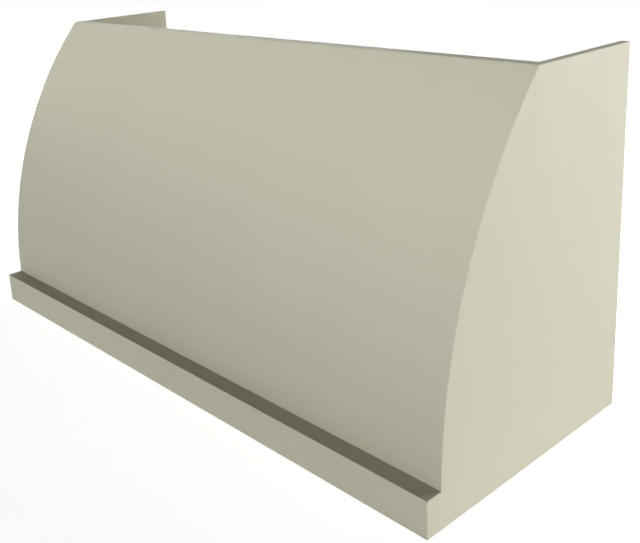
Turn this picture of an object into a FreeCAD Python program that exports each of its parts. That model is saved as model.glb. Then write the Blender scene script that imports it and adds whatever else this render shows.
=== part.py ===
import FreeCAD, Part
import Sketcher
import os
import re

# Painted wooden cover for a range hood, 60 in wide, 24 in deep and 30 in high, open at the back and at the
# top. Its front is bent plywood in one circular arc, which stands on a ledge above a straight apron.
#
# +X runs along the width, +Y from the front to the wall, +Z up. The origin is the middle of the bottom.
# In the code a place is written as three formulas: the distance right of the middle, the distance behind
# the apron's front face, and the height above the bottom edge.

document = FreeCAD.newDocument("range_hood_cover")

# alias, millimetres, what it is
DRIVING_SIZES = [
    ("overall_width", 1524, "side to side"),
    ("overall_depth", 609.6, "apron front to wall"),
    ("overall_height", 762, "bottom edge to top edge"),
    ("top_depth", 304.8, "wall to the top of the front"),
    ("apron_height", 76.2, "straight band along the bottom"),
    ("ledge_depth", 38.1, "flat step on top of the apron"),
    ("panel_thickness", 19.05, "side panels"),
    ("apron_thickness", 19.05, "apron board"),
    ("ledge_thickness", 19.05, "ledge board"),
    ("ledge_board_depth", 82.55, "ledge board, front to back"),
    ("ply_thickness", 9.525, "one layer of the curved front"),
    ("glue_line", 0.1, "between two curved faces"),
    ("edge_round", 1.2, "eased edges of the painted pieces"),
    ("board_round", 0.8, "eased edges of the boards inside"),
    ("rib_thickness", 19.05, "curved ribs"),
    ("rib_depth", 44.45, "curved ribs, across the arc"),
    ("rib_spacing", 304.8, "rib to rib"),
    ("rib_top_drop", 25.4, "top edge down to the top of the ribs"),
    ("top_rail_thickness", 19.05, "rail behind the top of the front"),
    ("top_rail_height", 63.5, "the same rail, along the arc"),
    ("top_rail_drop", 19.05, "top edge down to that rail"),
    ("notch_gap", 0.2, "around that rail in the ribs"),
    ("block_size", 25.4, "glue blocks, height and depth"),
    ("block_length", 101.6, "glue blocks, along the width"),
    ("hanging_rail_thickness", 19.05, "rails at the wall"),
    ("hanging_rail_height", 88.9, "rails at the wall"),
    ("upper_rail_drop", 76.2, "top edge down to the upper rail"),
    ("tie_thickness", 19.05, "ties from the ribs to that rail"),
    ("tie_height", 63.5, "the same ties"),
    ("tie_front_gap", 9.525, "front to the end of a tie"),
    ("tie_screw_inset", 12.7, "top of a tie to its screw"),
    ("stud_spacing", 406.4, "wall studs, and the holes for them"),
    ("wall_hole", 7, "hole for a wall screw"),
    ("frame_thickness", 19.05, "insert frame"),
    ("frame_front_width", 82.55, "its front rail, front to back"),
    ("frame_side_width", 82.55, "its side rails, side to side"),
    ("frame_rear_width", 50.8, "its rear rail, front to back"),
    ("insert_hole", 3.2, "pilot hole for an insert's screw"),
    ("insert_hole_inset", 19.05, "from the cut-out to that hole"),
    ("insert_hole_spacing", 381, "front hole to rear hole"),
    ("apron_cleat_height", 19.05, "strip between the ledge and the insert frame"),
    ("cleat_thickness", 19.05, "strips along the side panels"),
    ("cleat_width", 38.1, "the same strips, the wide way"),
    ("dowel_diameter", 8, "dowels in the insert frame"),
    ("dowel_length", 40, "dowels in the insert frame"),
    ("dowel_spacing", 44.45, "the two dowels of one corner"),
    ("dowel_bevel", 1, "bevelled ends of a dowel"),
    ("dowel_gap", 0.05, "around a dowel"),
    ("dowel_end_gap", 0.5, "beyond each end of a dowel"),
    ("screw_diameter", 4.2, "wood screws"),
    ("screw_head", 8.4, "their countersunk heads"),
    ("screw_length", 31.75, "the short screws"),
    ("rib_screw_length", 44.45, "the long screws, up into the ribs"),
    ("screw_tip", 4, "pointed end of a screw"),
    ("screw_gap", 0.1, "around a screw in its hole"),
    ("screw_end_gap", 1, "beyond the tip of a screw"),
    ("drive_size", 2.8, "square recess in a head"),
    ("drive_depth", 1.8, "depth of that recess"),
    ("frame_screw_spacing", 330.2, "along the front and rear rails"),
    ("side_screw_spacing", 165.1, "along the side rails"),
    ("ledge_screw_spacing", 330.2, "up into the ledge board"),
    ("frame_cleat_spacing", 190.5, "frame cleat to side panel"),
    ("rear_cleat_spacing", 228.6, "rear cleat to side panel"),
    ("rail_screw_spacing", 50.8, "the two at one end of a rail"),
    ("rib_screw_spacing", 20.32, "the two under one rib"),
]

# Sizes that follow from those. The arc is upright where it meets the ledge, so its centre is level with the
# ledge, and its radius follows from how far it rises and how far it leans back.
DERIVED_SIZES = [
    ("arc_rise", "overall_height - apron_height"),
    ("arc_lean", "overall_depth - top_depth - ledge_depth"),
    ("outer_radius", "(arc_rise ^ 2 + arc_lean ^ 2) / (2 * arc_lean)"),
    ("middle_radius", "outer_radius - ply_thickness"),
    ("inner_radius", "middle_radius - glue_line"),
    ("skin_radius", "inner_radius - ply_thickness"),
    ("frame_radius", "skin_radius - glue_line"),
    ("arc_centre", "ledge_depth + outer_radius"),
    ("rail_top_angle", "asin((arc_rise - top_rail_drop) / frame_radius) / 1 deg"),
    ("rail_bottom_angle", "rail_top_angle - top_rail_height / frame_radius * 180 / pi"),
    ("gap_angle", "notch_gap / frame_radius * 180 / pi"),
    ("inner_width", "overall_width - 2 * panel_thickness"),
    ("ledge_underside", "apron_height - ledge_thickness"),
    ("ledge_rear", "apron_thickness + ledge_board_depth"),
    ("foot_middle", "arc_centre - frame_radius + rib_depth / 2"),
    ("frame_top", "ledge_underside - apron_cleat_height"),
    ("frame_recess", "frame_top - frame_thickness"),
    ("cutout_front", "apron_thickness + frame_front_width"),
    ("cutout_rear", "overall_depth - frame_rear_width"),
    ("cutout_depth", "cutout_rear - cutout_front"),
    ("cutout_width", "inner_width - 2 * frame_side_width"),
    ("cutout_middle", "(cutout_front + cutout_rear) / 2"),
    ("side_rail_middle", "(inner_width - frame_side_width) / 2"),
    ("apron_cleat_middle", "apron_thickness + cleat_width / 2"),
    ("hanging_rail_front", "overall_depth - hanging_rail_thickness"),
    ("hanging_rail_middle", "overall_depth - hanging_rail_thickness / 2"),
    ("upper_rail_bottom", "overall_height - upper_rail_drop - hanging_rail_height"),
    ("tie_middle_height", "upper_rail_bottom + hanging_rail_height / 2"),
    ("tie_top", "tie_middle_height + tie_height / 2"),
    ("tie_front", "arc_centre - sqrt(frame_radius ^ 2 - (tie_top - apron_height) ^ 2) + tie_front_gap"),
    ("cleat_centre_x", "inner_width / 2 - cleat_thickness / 2"),
    ("frame_cleat_top", "frame_top + cleat_width"),
    ("frame_cleat_middle", "(ledge_rear + hanging_rail_front) / 2"),
    ("rear_cleat_front", "hanging_rail_front - cleat_width"),
    ("rear_cleat_height", "upper_rail_bottom + hanging_rail_height - frame_cleat_top"),
    ("rear_cleat_middle", "frame_cleat_top + rear_cleat_height / 2"),
    ("screw_hole", "screw_diameter + 2 * screw_gap"),
    ("head_hole", "screw_head + 2 * screw_gap"),
    ("dowel_hole", "dowel_diameter + 2 * dowel_gap"),
    ("dowel_hole_depth", "dowel_length / 2 + dowel_end_gap"),
]

sheet = document.addObject("Spreadsheet::Sheet", "Sizes")
for row, (alias, millimetres, meaning) in enumerate(DRIVING_SIZES, start=1):
    sheet.set(f"A{row}", alias)
    sheet.set(f"B{row}", str(millimetres))
    sheet.set(f"C{row}", meaning)
    sheet.setAlias(f"B{row}", alias)
document.recompute()

owners = {alias: "Sizes" for alias, _, _ in DRIVING_SIZES}


def formula(text):
    """Puts the owner's name before each size that the formula names."""
    return re.sub(r"[a-z_]+", lambda word: ".".join(filter(None, (owners.get(word[0]), word[0]))), text)


derived = document.addObject("App::VarSet", "Derived")
for alias, text in DERIVED_SIZES:
    derived.addProperty("App::PropertyFloat", alias)
    derived.setExpression(alias, formula(text))
    owners[alias] = "Derived"
document.recompute()


def value(text):
    """The number that a formula gives."""
    return float(sheet.evalExpression(formula(text)))


def vector(place):
    """A place in the hood's frame as a point of the model."""
    across, behind, height = place
    return FreeCAD.Vector(value(across), value(f"{behind} - overall_depth / 2"), value(height))


# ---- bodies, sketches and features ----

corners_of = {}  # lowest corner of each body, as formulas
nodes = []
level = 0.01  # an edge this close to a face lies on it


def new_body(name, corner):
    """An empty body whose own origin is at the given corner."""
    body = document.addObject("PartDesign::Body", name)
    body.Label = name
    across, behind, height = corner
    body.setExpression("Placement.Base.x", formula(across))
    body.setExpression("Placement.Base.y", formula(f"{behind} - overall_depth / 2"))
    body.setExpression("Placement.Base.z", formula(height))
    corners_of[name] = corner
    nodes.append(body)
    return body


def new_sketch(body, name, role, offset="0"):
    """A sketch on one of the body's origin planes, moved along the plane's normal."""
    sketch = body.newObject("Sketcher::SketchObject", name)
    plane = [feature for feature in body.Origin.OriginFeatures if feature.Role == role][0]
    sketch.AttachmentSupport = [(plane, "")]
    sketch.MapMode = "FlatFace"
    if offset != "0":
        sketch.setExpression("AttachmentOffset.Base.z", formula(offset))
    return sketch


def pin(sketch, element, point, across, up):
    """Fixes a point of a sketch by two formulas, measured from the sketch's origin."""
    for kind, axis, text in (("DistanceX", -2, across), ("DistanceY", -1, up)):
        if text == "0":
            sketch.addConstraint(Sketcher.Constraint("PointOnObject", element, point, axis))
            continue
        rule = Sketcher.Constraint(kind, -1, 1, element, point, value(text))
        index = sketch.addConstraint(rule)
        sketch.setExpression(f"Constraints[{index}]", formula(text))


def draw_outline(sketch, corners, arcs=()):
    """A closed outline through the corners. arcs gives, by the number of the side's first corner, the
    radius of a side that is an arc about the front's centre."""
    arcs = dict(arcs)
    places = [FreeCAD.Vector(value(across), value(up), 0) for across, up in corners]
    centre = FreeCAD.Vector(value("arc_centre"), value("apron_height"), 0)
    elements = []
    for number, start in enumerate(places):
        end = places[(number + 1) % len(places)]
        if number in arcs:
            halfway = (start + end) / 2 - centre
            halfway.Length = value(arcs[number])
            side = Part.Arc(start, centre + halfway, end)
        else:
            side = Part.LineSegment(start, end)
        elements.append(sketch.addGeometry(side, False))

    def end_at(element, place):
        return min((1, 2), key=lambda point: (sketch.getPoint(element, point) - place).Length)

    for number, (across, up) in enumerate(corners):
        before, after = elements[number - 1], elements[number]
        first = end_at(before, places[number])
        second = end_at(after, places[number])
        sketch.addConstraint(Sketcher.Constraint("Coincident", before, first, after, second))
        pin(sketch, after, second, across, up)
    for number, radius in arcs.items():
        rule = Sketcher.Constraint("Radius", elements[number], value(radius))
        index = sketch.addConstraint(rule)
        sketch.setExpression(f"Constraints[{index}]", formula(radius))


def pad(body, sketch, length):
    """Extrudes a sketch along its normal."""
    feature = body.newObject("PartDesign::Pad", "Pad")
    feature.Profile = sketch
    feature.setExpression("Length", formula(length))
    document.recompute()


def ease(body, radius, wanted):
    """Rounds the edges for which wanted(edge's bounding box in the body's own frame) is true."""
    base = body.Tip
    names = [f"Edge{i}" for i, edge in enumerate(base.Shape.Edges, start=1) if wanted(edge.BoundBox)]
    feature = body.newObject("PartDesign::Fillet", "Eased_edges")
    feature.Base = (base, names)
    feature.setExpression("Radius", formula(radius))
    document.recompute()


# The axis and the sign of each way to drill, and for each axis the plane across it and that plane's own
# normal. Only the XZ plane's normal points against its axis.
WAYS = {"up": "z+", "back": "y+", "front": "y-", "right": "x+", "left": "x-"}
PLANES = {"x": ("YZ_Plane", "+"), "y": ("XZ_Plane", "-"), "z": ("XY_Plane", "+")}


def drill(body, name, way, starts, diameter, depth=None, head=None):
    """Round holes into a body, from the start places and one way. Without a depth they go right through,
    and with a head's diameter they are countersunk."""
    axis, sign = WAYS[way]
    role, normal = PLANES[axis]
    corner = corners_of[body.Name]
    local = [{i: f"{a} - ({b})" for i, a, b in zip("xyz", place, corner)} for place in starts]
    sketch = new_sketch(body, f"{name}_places", role, f"{normal}({local[0][axis]})")
    for place in local:
        across, up = (text for letter, text in place.items() if letter != axis)
        middle = FreeCAD.Vector(value(across), value(up), 0)
        circle = Part.Circle(middle, FreeCAD.Vector(0, 0, 1), value(diameter) / 2)
        element = sketch.addGeometry(circle, False)
        pin(sketch, element, 3, across, up)
        index = sketch.addConstraint(Sketcher.Constraint("Diameter", element, value(diameter)))
        sketch.setExpression(f"Constraints[{index}]", formula(diameter))
    document.recompute()
    volume_before = body.Shape.Volume
    hole = body.newObject("PartDesign::Hole", name)
    hole.Profile = sketch
    document.recompute()
    hole.Threaded = False
    hole.Reversed = sign == normal
    hole.setExpression("Diameter", formula(diameter))
    hole.DrillPoint = "Flat"
    if depth is None:
        hole.DepthType = "ThroughAll"
    else:
        hole.DepthType = "Dimension"
        hole.setExpression("Depth", formula(depth))
    if head is not None:
        hole.HoleCutType = "Countersink"
        hole.HoleCutCustomValues = True
        hole.setExpression("HoleCutDiameter", formula(head))
        hole.HoleCutCountersinkAngle = 90
    document.recompute()
    if not body.Shape.Volume < volume_before:
        raise ValueError(f"{name} cuts nothing out of {body.Name}")


def board(name, corner, lengths):
    """A straight board with its long edges eased."""
    body = new_body(name, corner)
    along_x, along_y, along_z = lengths
    sketch = new_sketch(body, "Outline", "XY_Plane")
    draw_outline(sketch, [("0", "0"), (along_x, "0"), (along_x, along_y), ("0", along_y)])
    pad(body, sketch, along_z)
    longest = max(value(length) for length in lengths)
    ease(body, "board_round", lambda box: box.DiagonalLength > longest - level)
    return body


def arc_place(radius, angle):
    """The corner at a radius and an angle about the front's centre, as two formulas."""
    across = f"arc_centre - {radius} * cos({angle})"
    up = f"apron_height + {radius} * sin({angle})"
    return across, up


def arc_place_at(radius, height):
    """The corner where an arc about the front's centre reaches a height, as two formulas."""
    return f"arc_centre - sqrt({radius} ^ 2 - ({height} - apron_height) ^ 2)", height


def spread(count, spacing):
    """Evenly spaced places on both sides of the middle, as formulas."""
    return [f"{number - (count - 1) / 2} * {spacing}" for number in range(count)]


# ---- painted shell ----


def side_panel(name, corner):
    """One end, behind the apron board and the two layers of the front."""
    body = new_body(name, corner)
    sketch = new_sketch(body, "Profile", "YZ_Plane")
    corners = [
        ("apron_thickness", "0"),
        ("overall_depth", "0"),
        ("overall_depth", "overall_height"),
        arc_place_at("frame_radius", "overall_height"),
        arc_place_at("frame_radius", "apron_height"),
        ("apron_thickness", "apron_height"),
    ]
    draw_outline(sketch, corners, {3: "frame_radius"})
    pad(body, sketch, "panel_thickness")
    depth, height = value("overall_depth"), value("overall_height")

    def free(box):
        at_bottom, at_top = box.ZMax < level, box.ZMin > height - level
        at_wall = box.YMin > depth - level
        return box.XLength < level and (at_bottom or at_top or at_wall)

    ease(body, "edge_round", free)
    return body


left_side_panel = side_panel("left_side_panel", ("-overall_width / 2", "0", "0"))
right_side_panel = side_panel("right_side_panel", ("overall_width / 2 - panel_thickness", "0", "0"))


def front_ply(name, outside, inside):
    """One layer of the curved front, between two radii, over the ends of the side panels."""
    body = new_body(name, ("-overall_width / 2", "0", "0"))
    sketch = new_sketch(body, "Profile", "YZ_Plane")
    corners = [
        arc_place_at(outside, "apron_height"),
        arc_place_at(inside, "apron_height"),
        arc_place_at(inside, "overall_height"),
        arc_place_at(outside, "overall_height"),
    ]
    draw_outline(sketch, corners, {1: inside, 3: outside})
    pad(body, sketch, "overall_width")
    return body


front_outer_ply = front_ply("front_outer_ply", "outer_radius", "middle_radius")
foot = value("ledge_depth")
brow = value(arc_place_at("outer_radius", "overall_height")[0])


def on_outer_face(box):
    """True for the two bent edges of the outer face and for its top edge."""
    bent = box.YMin < foot + level and box.ZLength > level
    top = box.YMin < brow + level and box.ZMin > value("overall_height") - level and box.XLength > level
    return bent or top


ease(front_outer_ply, "edge_round", on_outer_face)
front_inner_ply = front_ply("front_inner_ply", "inner_radius", "skin_radius")

apron_board = new_body("apron_board", ("-overall_width / 2", "0", "0"))
apron_outline = new_sketch(apron_board, "Outline", "XY_Plane")
apron_corners = [
    ("0", "0"),
    ("overall_width", "0"),
    ("overall_width", "apron_thickness"),
    ("0", "apron_thickness"),
]
draw_outline(apron_outline, apron_corners)
pad(apron_board, apron_outline, "apron_height")
ease(apron_board, "edge_round", lambda box: box.YMax < level)

ledge_board = board(
    "ledge_board",
    ("-inner_width / 2", "apron_thickness", "ledge_underside"),
    ("inner_width", "ledge_board_depth", "ledge_thickness"),
)

# ---- curved ribs, the rail along their tops, and glue blocks ----


def rail_section(gap, gap_angle, outside):
    """The corners of the top rail's section, or of the notch for it."""
    inside = f"(frame_radius - top_rail_thickness - {gap})"
    low, high = f"(rail_bottom_angle - {gap_angle})", f"(rail_top_angle + {gap_angle})"
    return [
        arc_place(outside, low),
        arc_place(inside, low),
        arc_place(inside, high),
        arc_place(outside, high),
    ]


def curved_rib(name, middle):
    """An upright rib behind the front, rebated at its top for the rail."""
    body = new_body(name, (f"{middle} - rib_thickness / 2", "0", "0"))
    sketch = new_sketch(body, "Profile", "YZ_Plane")
    top = "(overall_height - rib_top_drop)"
    inside = "(frame_radius - rib_depth)"
    corners = [
        arc_place_at("frame_radius", "apron_height"),
        arc_place_at(inside, "apron_height"),
        arc_place_at(inside, top),
        arc_place_at("frame_radius", top),
    ]
    draw_outline(sketch, corners, {1: inside, 3: "frame_radius"})
    pad(body, sketch, "rib_thickness")
    notch = new_sketch(body, "Notch_profile", "YZ_Plane")
    draw_outline(notch, rail_section("notch_gap", "gap_angle", "middle_radius"))
    volume_before = body.Shape.Volume
    pocket = body.newObject("PartDesign::Pocket", "Notch")
    pocket.Profile = notch
    pocket.Type = "ThroughAll"
    pocket.Reversed = True
    document.recompute()
    if not body.Shape.Volume < volume_before:
        raise ValueError(f"the notch cuts nothing out of {name}")
    return body


RIB_NAMES = ("left_outer_rib", "left_inner_rib", "right_inner_rib", "right_outer_rib")
rib_middles = spread(len(RIB_NAMES), "rib_spacing")
ribs = [curved_rib(name, middle) for name, middle in zip(RIB_NAMES, rib_middles)]

top_front_rail = new_body("top_front_rail", ("-inner_width / 2", "0", "0"))
rail_profile = new_sketch(top_front_rail, "Profile", "YZ_Plane")
draw_outline(rail_profile, rail_section("0", "0", "frame_radius"), {3: "frame_radius"})
pad(top_front_rail, rail_profile, "inner_width")

outer_bay = f"(inner_width / 2 + {rib_middles[-1]} + rib_thickness / 2) / 2"
bay_middles = [f"-{outer_bay}"] + spread(len(RIB_NAMES) - 1, "rib_spacing") + [outer_bay]


def glue_block(name, middle):
    """A three-cornered block in the corner of the front and the ledge."""
    front, low = arc_place_at("frame_radius", "(apron_height + block_size)")[0], "apron_height"
    body = new_body(name, (f"{middle} - block_length / 2", front, low))
    sketch = new_sketch(body, "Profile", "YZ_Plane")
    draw_outline(sketch, [("0", "0"), ("block_size", "0"), ("0", "block_size")])
    pad(body, sketch, "block_length")


for number, middle in enumerate(bay_middles, start=1):
    glue_block(f"glue_block_{number}", middle)

# ---- insert frame ----

frame_front_rail = board(
    "frame_front_rail",
    ("-inner_width / 2", "apron_thickness", "frame_recess"),
    ("inner_width", "frame_front_width", "frame_thickness"),
)
frame_rear_rail = board(
    "frame_rear_rail",
    ("-inner_width / 2", "cutout_rear", "frame_recess"),
    ("inner_width", "frame_rear_width", "frame_thickness"),
)
frame_left_rail = board(
    "frame_left_rail",
    ("-inner_width / 2", "cutout_front", "frame_recess"),
    ("frame_side_width", "cutout_depth", "frame_thickness"),
)
frame_right_rail = board(
    "frame_right_rail",
    ("cutout_width / 2", "cutout_front", "frame_recess"),
    ("frame_side_width", "cutout_depth", "frame_thickness"),
)

# ---- cleats and hanging rails ----

apron_cleat = board(
    "apron_cleat",
    ("-inner_width / 2", "apron_thickness", "frame_top"),
    ("inner_width", "cleat_width", "apron_cleat_height"),
)
frame_cleat_lengths = ("cleat_thickness", "hanging_rail_front - ledge_rear", "cleat_width")
left_frame_cleat = board(
    "left_frame_cleat",
    ("-inner_width / 2", "ledge_rear", "frame_top"),
    frame_cleat_lengths,
)
right_frame_cleat = board(
    "right_frame_cleat",
    ("inner_width / 2 - cleat_thickness", "ledge_rear", "frame_top"),
    frame_cleat_lengths,
)
rear_cleat_lengths = ("cleat_thickness", "cleat_width", "rear_cleat_height")
left_rear_cleat = board(
    "left_rear_cleat",
    ("-inner_width / 2", "rear_cleat_front", "frame_cleat_top"),
    rear_cleat_lengths,
)
right_rear_cleat = board(
    "right_rear_cleat",
    ("inner_width / 2 - cleat_thickness", "rear_cleat_front", "frame_cleat_top"),
    rear_cleat_lengths,
)
hanging_rail_lengths = ("inner_width", "hanging_rail_thickness", "hanging_rail_height")
upper_hanging_rail = board(
    "upper_hanging_rail",
    ("-inner_width / 2", "hanging_rail_front", "upper_rail_bottom"),
    hanging_rail_lengths,
)
lower_hanging_rail = board(
    "lower_hanging_rail",
    ("-inner_width / 2", "hanging_rail_front", "frame_top"),
    hanging_rail_lengths,
)

tie_lengths = ("tie_thickness", "hanging_rail_front - tie_front", "tie_height")
outer_rib_face = f"({rib_middles[-1]} - rib_thickness / 2)"
left_cross_tie = board(
    "left_cross_tie",
    (f"-{outer_rib_face}", "tie_front", "tie_top - tie_height"),
    tie_lengths,
)
right_cross_tie = board(
    "right_cross_tie",
    (f"{outer_rib_face} - tie_thickness", "tie_front", "tie_top - tie_height"),
    tie_lengths,
)

# ---- holes for the wall screws and for the insert ----

for rail, low in ((upper_hanging_rail, "upper_rail_bottom"), (lower_hanging_rail, "frame_top")):
    middle_height = f"({low} + hanging_rail_height / 2)"
    starts = [(x, "overall_depth", middle_height) for x in spread(4, "stud_spacing")]
    drill(rail, "Wall_holes", "front", starts, "wall_hole")

for rail, side in ((frame_left_rail, "-"), (frame_right_rail, "")):
    hole_x = f"{side}(cutout_width / 2 + insert_hole_inset)"
    starts = [
        (hole_x, f"cutout_middle + {y}", "frame_recess") for y in spread(2, "insert_hole_spacing")
    ]
    drill(rail, "Insert_holes", "up", starts, "insert_hole")

# ---- dowels in the corners of the insert frame ----

frame_middle_height = "(frame_recess + frame_thickness / 2)"
dowel_middles = []
for side, side_rail in (("-", frame_left_rail), ("", frame_right_rail)):
    for end, end_rail in (("cutout_front", frame_front_rail), ("cutout_rear", frame_rear_rail)):
        middles = [
            (f"{side}side_rail_middle + {x}", end, frame_middle_height)
            for x in spread(2, "dowel_spacing")
        ]
        into_end, into_side = ("front", "back") if end == "cutout_front" else ("back", "front")
        name = f"Dowel_holes_{len(dowel_middles)}"
        drill(end_rail, name, into_end, middles, "dowel_hole", "dowel_hole_depth")
        drill(side_rail, name, into_side, middles, "dowel_hole", "dowel_hole_depth")
        dowel_middles += middles


def group(name, solids):
    """One node that holds several equal, separate solids."""
    feature = document.addObject("Part::Feature", name)
    feature.Label = name
    feature.Shape = Part.makeCompound(solids)
    feature.Placement = FreeCAD.Placement()
    nodes.append(feature)


def turned(points):
    """A round solid about the Z axis from its half section."""
    section = Part.Face(Part.makePolygon([FreeCAD.Vector(x, 0, z) for x, z in points + points[:1]]))
    return section.revolve(FreeCAD.Vector(0, 0, 0), FreeCAD.Vector(0, 0, 1), 360)


def copies(solid, places, way):
    """Copies of a solid at several places, with its own +Z turned one way."""
    axis, sign = WAYS[way]
    arrow = FreeCAD.Vector(*(float(f"{sign}{letter == axis:d}") for letter in "xyz"))
    rotation = FreeCAD.Rotation(FreeCAD.Vector(0, 0, 1), arrow)
    made = []
    for place in places:
        copy = solid.copy()
        copy.Placement = FreeCAD.Placement(vector(place), rotation)
        made.append(copy)
    return made


def dowel():
    radius, bevel, half = value("dowel_diameter / 2"), value("dowel_bevel"), value("dowel_length / 2")
    section = [
        (0, -half),
        (radius - bevel, -half),
        (radius, bevel - half),
        (radius, half - bevel),
        (radius - bevel, half),
        (0, half),
    ]
    return turned(section)


group("frame_dowels", copies(dowel(), dowel_middles, "back"))

# ---- screws ----


def screw(length):
    """A countersunk wood screw with its head's face at the origin and its point along +Z."""
    head, shank = value("screw_head / 2"), value("screw_diameter / 2")
    end, tip = value(length), value("screw_tip")
    section = [(0, 0), (head, 0), (shank, head - shank), (shank, end - tip), (0, end)]
    width = value("drive_size")
    corner = FreeCAD.Vector(-width / 2, -width / 2, 0)
    recess = Part.makeBox(width, width, value("drive_depth"), corner)
    return turned(section).cut(recess)


def screw_row(name, way, heads, thickness, boards, length="screw_length"):
    """Drills a row of screws through the first board, into the second, and gives the screws."""
    axis, sign = WAYS[way]
    joints = []
    for head in heads:
        ends = (f"{text} {sign} {thickness}" if i == axis else text for i, text in zip("xyz", head))
        joints.append(tuple(ends))
    first, second = boards
    drill(first, f"{name}_holes", way, heads, "screw_hole", head="head_hole")
    depth = f"{length} - {thickness} + screw_end_gap"
    drill(second, f"{name}_pilots", way, joints, "screw_hole", depth)
    return copies(screw(length), heads, way)


sides = (
    ("-", "left", left_side_panel, frame_left_rail, left_frame_cleat, left_rear_cleat),
    ("", "right", right_side_panel, frame_right_rail, right_frame_cleat, right_rear_cleat),
)

frame_screws = []
rows = (
    (frame_front_rail, "apron_cleat_middle", apron_cleat),
    (frame_rear_rail, "hanging_rail_middle", lower_hanging_rail),
)
for rail, behind, above in rows:
    heads = [(x, behind, "frame_recess") for x in spread(5, "frame_screw_spacing")]
    frame_screws += screw_row("Frame_screw", "up", heads, "frame_thickness", (rail, above))
for sign, _, _, rail, frame_cleat, _ in sides:
    heads = [
        (f"{sign}cleat_centre_x", f"cutout_middle + {y}", "frame_recess")
        for y in spread(3, "side_screw_spacing")
    ]
    frame_screws += screw_row("Frame_screw", "up", heads, "frame_thickness", (rail, frame_cleat))
group("frame_screws", frame_screws)

cleat_screws = []
for sign, way, panel, _, frame_cleat, rear_cleat in sides:
    inner_face = f"{sign}(inner_width / 2 - cleat_thickness)"
    heads = [
        (inner_face, f"frame_cleat_middle + {y}", "frame_top + cleat_width / 2")
        for y in spread(3, "frame_cleat_spacing")
    ]
    pair = (frame_cleat, panel)
    cleat_screws += screw_row("Frame_cleat_screw", way, heads, "cleat_thickness", pair)
    heads = [
        (inner_face, "hanging_rail_front - cleat_width / 2", f"rear_cleat_middle + {z}")
        for z in spread(3, "rear_cleat_spacing")
    ]
    pair = (rear_cleat, panel)
    cleat_screws += screw_row("Rear_cleat_screw", way, heads, "cleat_thickness", pair)
group("cleat_screws", cleat_screws)

heads = [(x, "apron_cleat_middle", "frame_top") for x in spread(4, "ledge_screw_spacing")]
pair = (apron_cleat, ledge_board)
group("ledge_screws", screw_row("Ledge_screw", "up", heads, "apron_cleat_height", pair))

rib_screws = []
for rib, middle in zip(ribs, rib_middles):
    heads = [
        (middle, f"foot_middle + {y}", "ledge_underside") for y in spread(2, "rib_screw_spacing")
    ]
    pair = (ledge_board, rib)
    name = f"Rib_screw_{len(rib_screws)}"
    rib_screws += screw_row(name, "up", heads, "ledge_thickness", pair, "rib_screw_length")
group("rib_screws", rib_screws)

tie_middle = f"({outer_rib_face} - tie_thickness / 2)"
rail_screws = []
for sign, _, _, _, frame_cleat, rear_cleat in sides:
    tie = left_cross_tie if sign else right_cross_tie
    low, high = spread(2, "rail_screw_spacing")
    joints = (
        (upper_hanging_rail, "cleat_centre_x", "upper_rail_bottom", low, rear_cleat),
        (upper_hanging_rail, "cleat_centre_x", "upper_rail_bottom", high, rear_cleat),
        (upper_hanging_rail, tie_middle, "upper_rail_bottom", low, tie),
        (upper_hanging_rail, tie_middle, "upper_rail_bottom", high, tie),
        (lower_hanging_rail, "cleat_centre_x", "frame_top", low, frame_cleat),
        (lower_hanging_rail, "cleat_centre_x", "frame_top", high, rear_cleat),
    )
    for rail, middle, rail_low, offset, behind in joints:
        height = f"{rail_low} + hanging_rail_height / 2 + {offset}"
        heads = [(f"{sign}{middle}", "overall_depth", height)]
        name = f"Rail_screw_{len(rail_screws)}"
        pair = (rail, behind)
        rail_screws += screw_row(name, "front", heads, "hanging_rail_thickness", pair)
group("rail_screws", rail_screws)

tie_screws = []
for sign, way, tie, rib in (
    ("-", "left", left_cross_tie, ribs[0]),
    ("", "right", right_cross_tie, ribs[-1]),
):
    head = (
        f"{sign}({outer_rib_face} - tie_thickness)",
        "tie_front + rib_depth / 2",
        "tie_top - tie_screw_inset",
    )
    tie_screws += screw_row("Tie_screw", way, [head], "tie_thickness", (tie, rib))
group("tie_screws", tie_screws)

# ---- checks and files ----

document.recompute()
for item in document.Objects:
    if "Invalid" in item.State or "Error" in item.State:
        raise ValueError(f"{item.Label} is {item.State}")
for node in nodes:
    if node.Shape.isNull() or not node.Shape.isValid():
        raise ValueError(f"{node.Label} has no valid shape")

os.makedirs("parts", exist_ok=True)
for node in nodes:
    node.Shape.exportStep(f"parts/{node.Label}.step")
print(f"{len(nodes)} nodes, {sum(len(node.Shape.Solids) for node in nodes)} solids")
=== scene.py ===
import math
import bpy
import numpy as np
from mathutils import Matrix, Vector


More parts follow.
